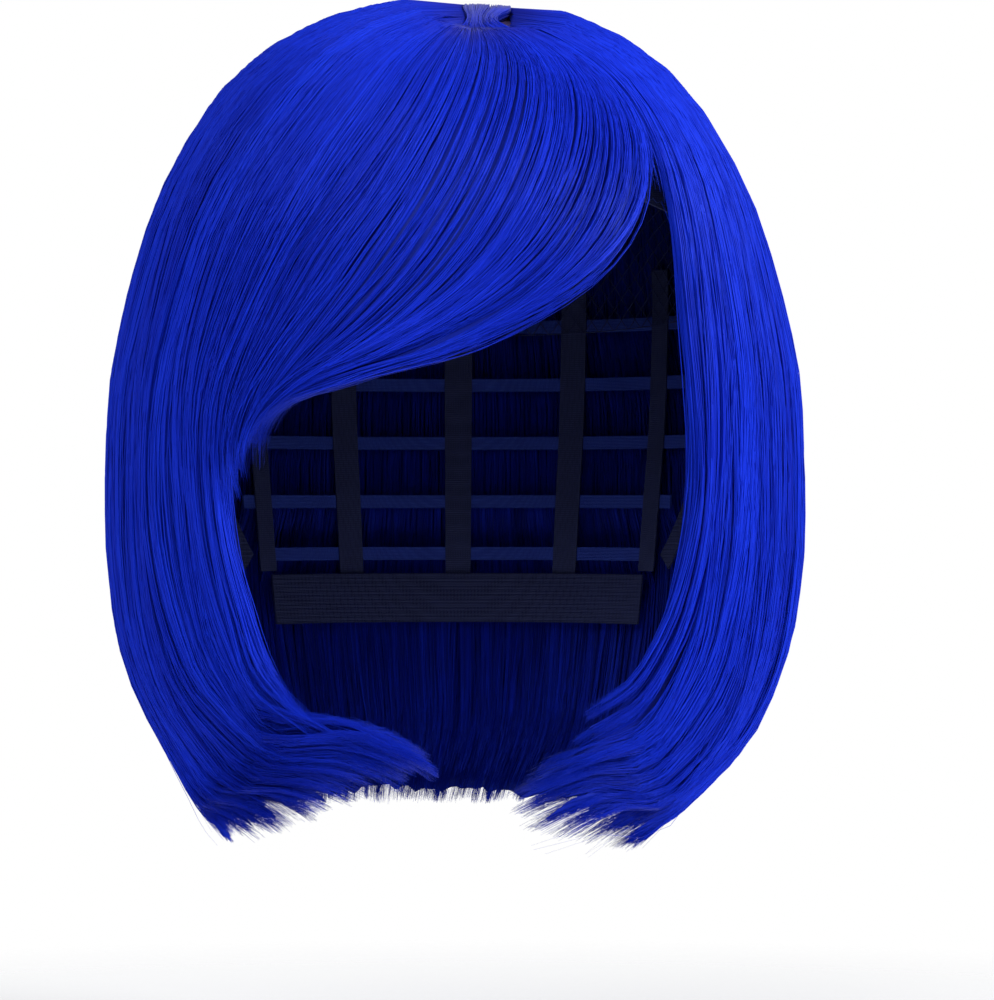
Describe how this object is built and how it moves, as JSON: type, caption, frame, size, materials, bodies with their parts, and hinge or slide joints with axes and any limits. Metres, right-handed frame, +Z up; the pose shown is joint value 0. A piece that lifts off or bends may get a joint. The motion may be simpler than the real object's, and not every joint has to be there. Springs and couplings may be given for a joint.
{
  "type": "costume wig",
  "caption": "Chin-length bob wig with a side-swept fringe: layered hair sewn on a stretch-net cap with ribbons, weft tracks, ear tabs and nape adjusters.",
  "frame": {"origin": "centre of the head opening on the girth line of the cap (brow to back of head)", "axes": "+Z up through the crown, the face side is -Y, the wearer's left is +X; the head leaves the cap along -Z"},
  "size_m": [0.199, 0.2193, 0.241],
  "materials": {
    "hair_fibre": "glossy synthetic fibre",
    "stretch_net": "open mesh",
    "skin_patch": "matt",
    "clear_plastic": "gloss",
    "elastic": "woven",
    "stay_plastic": "matt",
    "weft_stitching": "stitched",
    "cap_tape": "woven"
  },
  "bodies": {
    "cap": {"back_track": "weft_stitching", "crown_net_back_left": "stretch_net", "crown_net_back_right": "stretch_net", "crown_net_front_left": "stretch_net", "crown_net_front_right": "stretch_net", "eyelet_tape_left": "cap_tape", "eyelet_tape_right": "cap_tape", "fringe_track": "weft_stitching", "front_band": "cap_tape", "left_side_track": "weft_stitching", "nape_band": "elastic", "ribbon_centre": "cap_tape", "ribbon_inner_left": "cap_tape", "ribbon_inner_right": "cap_tape", "ribbon_outer_left": "cap_tape", "ribbon_outer_right": "cap_tape", "right_side_track": "weft_stitching", "side_band_left": "elastic", "side_band_right": "elastic", "side_weft_hair_left": "hair_fibre", "side_weft_hair_right": "hair_fibre", "side_weft_track_left": "weft_stitching", "side_weft_track_right": "weft_stitching", "skin_top_patch": "skin_patch", "strap_casing_left": "cap_tape", "strap_casing_right": "cap_tape", "weft_hair_1": "hair_fibre", "weft_hair_2": "hair_fibre", "weft_hair_3": "hair_fibre", "weft_hair_4": "hair_fibre", "weft_hair_5": "hair_fibre", "weft_track_1": "weft_stitching", "weft_track_2": "weft_stitching", "weft_track_3": "weft_stitching", "weft_track_4": "weft_stitching", "weft_track_5": "weft_stitching"},
    "ear_tab_left": {"ear_tab_left": "cap_tape", "ear_stay_left": "stay_plastic"},
    "ear_tab_right": {"ear_tab_right": "cap_tape", "ear_stay_right": "stay_plastic"},
    "adjuster_left": {"adjuster_strap_left": "elastic", "adjuster_hook_left": "clear_plastic"},
    "adjuster_right": {"adjuster_strap_right": "elastic", "adjuster_hook_right": "clear_plastic"},
    "fringe": {"fringe_lock_lower": "hair_fibre", "fringe_lock_middle": "hair_fibre", "fringe_lock_upper": "hair_fibre"},
    "right_side": {"right_side_lock_1": "hair_fibre", "right_side_lock_2": "hair_fibre", "right_side_lock_3": "hair_fibre", "right_side_lock_4": "hair_fibre", "right_side_lock_5": "hair_fibre"},
    "left_side": {"left_side_lock_1": "hair_fibre", "left_side_lock_2": "hair_fibre", "left_side_lock_3": "hair_fibre", "left_side_lock_4": "hair_fibre"},
    "back_hair": {"back_lock_1": "hair_fibre", "back_lock_2": "hair_fibre", "back_lock_3": "hair_fibre", "back_lock_4": "hair_fibre"}
  },
  "joints": [
    {"name": "ear_tab_left_fold", "type": "hinge", "parent": "cap", "child": "ear_tab_left", "pos_m": [0.0711, -0.0348, 0.0048], "axis": [-0.2279, -0.9737, 0], "range_deg": [0, 10]},
    {"name": "ear_tab_right_fold", "type": "hinge", "parent": "cap", "child": "ear_tab_right", "pos_m": [-0.0711, -0.0348, 0.0048], "axis": [-0.2279, 0.9737, 0], "range_deg": [0, 10]},
    {"name": "adjuster_left_slide", "type": "slide", "parent": "cap", "child": "adjuster_left", "axis": [-0.8458, 0.5335, 0], "range_m": [0, 0.0045]},
    {"name": "adjuster_right_slide", "type": "slide", "parent": "cap", "child": "adjuster_right", "axis": [0.8458, 0.5335, 0], "range_m": [0, 0.0045]},
    {"name": "fringe_lift", "type": "hinge", "parent": "cap", "child": "fringe", "pos_m": [0.01, -0.045, 0.074], "axis": [-1, 0, 0], "range_deg": [0, 18]},
    {"name": "right_side_swing", "type": "hinge", "parent": "cap", "child": "right_side", "pos_m": [-0.005, -0.03, 0.082], "axis": [0, 1, 0], "range_deg": [0, 12]},
    {"name": "left_side_swing", "type": "hinge", "parent": "cap", "child": "left_side", "pos_m": [0.022, -0.03, 0.081], "axis": [0, -1, 0], "range_deg": [0, 12]},
    {"name": "back_hair_swing", "type": "hinge", "parent": "cap", "child": "back_hair", "pos_m": [0, -0.012, 0.084], "axis": [1, 0, 0], "range_deg": [0, 10]}
  ]
}
